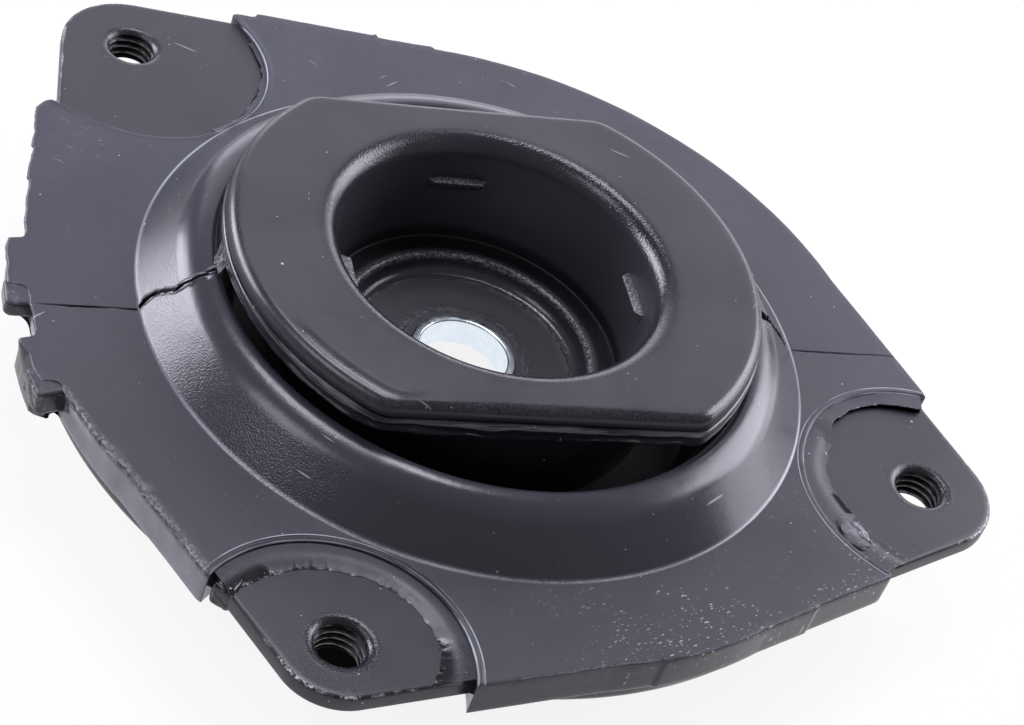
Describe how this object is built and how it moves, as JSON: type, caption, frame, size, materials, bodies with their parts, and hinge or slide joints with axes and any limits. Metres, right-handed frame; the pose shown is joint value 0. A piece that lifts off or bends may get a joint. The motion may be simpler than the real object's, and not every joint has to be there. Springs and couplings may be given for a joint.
{
  "type": "strut mount",
  "caption": "Rubber-bonded steel strut mount: flat plate with tapped lugs, a raised conical collar, and a deep flanged cup whose plated bush takes the strut rod.",
  "frame": {"origin": "on the rod axis, at the centre bush's upper face where the rod's nut seats", "axes": "+Z along the rod axis, up towards the body of the car; +X along the flange's two flats"},
  "size_m": [0.1793, 0.1743, 0.0417],
  "materials": {
    "painted_steel": "satin black paint",
    "rubber": "smooth moulded black rubber, pebbled on the cone",
    "plated_steel": "bright zinc plate"
  },
  "bodies": {
    "root": {"outer_plate": "painted_steel", "rubber_body": "rubber", "inner_cup": "painted_steel", "centre_bush": "plated_steel"}
  },
  "joints": []
}
